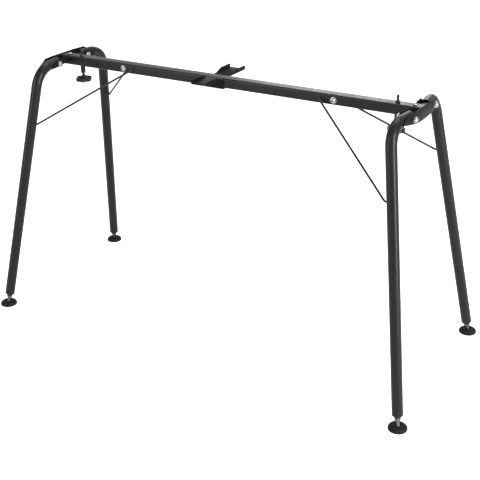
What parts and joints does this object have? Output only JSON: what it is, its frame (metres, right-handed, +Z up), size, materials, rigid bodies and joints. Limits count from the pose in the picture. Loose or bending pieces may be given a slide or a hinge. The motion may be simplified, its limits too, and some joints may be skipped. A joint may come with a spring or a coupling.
{
  "type": "keyboard stand",
  "caption": "Fixed stand for a keyboard: a level beam bolted to leaning bent-tube legs at each end, with rod stays, screw-up clamp knobs and levelling disc feet",
  "frame": {"origin": "on the floor under the middle of the beam", "axes": "+X along the beam to the right, +Y to the rear, +Z up"},
  "size_m": [1.175, 0.5108, 0.666],
  "materials": {
    "frame_paint": "satin black powder coat on steel tube",
    "plate_paint": "satin black powder coat on pressed steel sheet",
    "rod_paint": "satin black coat on steel rod",
    "bright_zinc": "bright zinc plated steel",
    "dull_zinc": "dull grey zinc plated steel",
    "black_steel": "black oxidised steel",
    "dark_plastic": "moulded black nylon, fine grain",
    "insert_plastic": "moulded dark grey nylon",
    "foot_plastic": "moulded black plastic, satin"
  },
  "bodies": {
    "stand": {"beam": "frame_paint", "outer_plate_left": "plate_paint", "outer_plate_right": "plate_paint", "centre_bracket": "plate_paint", "end_screw_left": "bright_zinc", "stay_bolt_left": "bright_zinc", "stay_washer_left": "bright_zinc", "stay_nut_left": "bright_zinc", "knob_nut_left": "black_steel", "stay_left_front": "rod_paint", "frame_bolt_left_front": "bright_zinc", "frame_nut_left_front": "bright_zinc", "leg_left_front": "frame_paint", "inner_plate_left_front": "plate_paint", "leg_insert_left_front": "insert_plastic", "stay_left_rear": "rod_paint", "frame_bolt_left_rear": "bright_zinc", "frame_nut_left_rear": "bright_zinc", "leg_left_rear": "frame_paint", "inner_plate_left_rear": "plate_paint", "leg_insert_left_rear": "insert_plastic", "end_screw_right": "bright_zinc", "stay_bolt_right": "bright_zinc", "stay_washer_right": "bright_zinc", "stay_nut_right": "bright_zinc", "knob_nut_right": "black_steel", "stay_right_front": "rod_paint", "frame_bolt_right_front": "bright_zinc", "frame_nut_right_front": "bright_zinc", "leg_right_front": "frame_paint", "inner_plate_right_front": "plate_paint", "leg_insert_right_front": "insert_plastic", "stay_right_rear": "rod_paint", "frame_bolt_right_rear": "bright_zinc", "frame_nut_right_rear": "bright_zinc", "leg_right_rear": "frame_paint", "inner_plate_right_rear": "plate_paint", "leg_insert_right_rear": "insert_plastic", "bracket_screw": "bright_zinc", "bracket_nut": "bright_zinc"},
    "knob_travel_left": {"knob_collar_left": "dark_plastic"},
    "knob_and_screw_left": {"knob_left": "dark_plastic", "knob_screw_left": "black_steel"},
    "foot_left_front": {"foot_disc_left_front": "foot_plastic"},
    "stud_left_front": {"foot_stud_left_front": "dull_zinc"},
    "foot_left_rear": {"foot_disc_left_rear": "foot_plastic"},
    "stud_left_rear": {"foot_stud_left_rear": "dull_zinc"},
    "knob_travel_right": {"knob_collar_right": "dark_plastic"},
    "knob_and_screw_right": {"knob_right": "dark_plastic", "knob_screw_right": "black_steel"},
    "foot_right_front": {"foot_disc_right_front": "foot_plastic"},
    "stud_right_front": {"foot_stud_right_front": "dull_zinc"},
    "foot_right_rear": {"foot_disc_right_rear": "foot_plastic"},
    "stud_right_rear": {"foot_stud_right_rear": "dull_zinc"}
  },
  "joints": [
    {"name": "knob_rise_left", "type": "slide", "parent": "stand", "child": "knob_travel_left", "axis": [0, 0, 1], "range_m": [0, 0.01]},
    {"name": "knob_turn_left", "type": "hinge", "parent": "knob_travel_left", "child": "knob_and_screw_left", "pos_m": [-0.4315, 0, 0.5885], "axis": [0, 0, 1], "range_deg": [0, 3600]},
    {"name": "foot_height_left_front", "type": "slide", "parent": "stand", "child": "foot_left_front", "axis": [0.1521, 0.1689, 0.9738], "range_m": [-0.012, 0]},
    {"name": "stud_turn_left_front", "type": "hinge", "parent": "foot_left_front", "child": "stud_left_front", "pos_m": [-0.56598, -0.23387, 0.0065], "axis": [0.1521, 0.1689, 0.9738], "range_deg": [-3456, 0]},
    {"name": "foot_height_left_rear", "type": "slide", "parent": "stand", "child": "foot_left_rear", "axis": [0.1521, -0.1689, 0.9738], "range_m": [-0.012, 0]},
    {"name": "stud_turn_left_rear", "type": "hinge", "parent": "foot_left_rear", "child": "stud_left_rear", "pos_m": [-0.56598, 0.23387, 0.0065], "axis": [0.1521, -0.1689, 0.9738], "range_deg": [-3456, 0]},
    {"name": "knob_rise_right", "type": "slide", "parent": "stand", "child": "knob_travel_right", "axis": [0, 0, 1], "range_m": [0, 0.01]},
    {"name": "knob_turn_right", "type": "hinge", "parent": "knob_travel_right", "child": "knob_and_screw_right", "pos_m": [0.4315, 0, 0.5885], "axis": [0, 0, 1], "range_deg": [0, 3600]},
    {"name": "foot_height_right_front", "type": "slide", "parent": "stand", "child": "foot_right_front", "axis": [-0.1521, 0.1689, 0.9738], "range_m": [-0.012, 0]},
    {"name": "stud_turn_right_front", "type": "hinge", "parent": "foot_right_front", "child": "stud_right_front", "pos_m": [0.56598, -0.23387, 0.0065], "axis": [-0.1521, 0.1689, 0.9738], "range_deg": [-3456, 0]},
    {"name": "foot_height_right_rear", "type": "slide", "parent": "stand", "child": "foot_right_rear", "axis": [-0.1521, -0.1689, 0.9738], "range_m": [-0.012, 0]},
    {"name": "stud_turn_right_rear", "type": "hinge", "parent": "foot_right_rear", "child": "stud_right_rear", "pos_m": [0.56598, 0.23387, 0.0065], "axis": [-0.1521, -0.1689, 0.9738], "range_deg": [-3456, 0]}
  ],
  "couplings": [
    {"joint": "knob_turn_left", "follows": "knob_rise_left", "rad_per_m": 6283.2},
    {"joint": "stud_turn_left_front", "follows": "foot_height_left_front", "rad_per_m": 5026.5},
    {"joint": "stud_turn_left_rear", "follows": "foot_height_left_rear", "rad_per_m": 5026.5},
    {"joint": "knob_turn_right", "follows": "knob_rise_right", "rad_per_m": 6283.2},
    {"joint": "stud_turn_right_front", "follows": "foot_height_right_front", "rad_per_m": 5026.5},
    {"joint": "stud_turn_right_rear", "follows": "foot_height_right_rear", "rad_per_m": 5026.5}
  ]
}
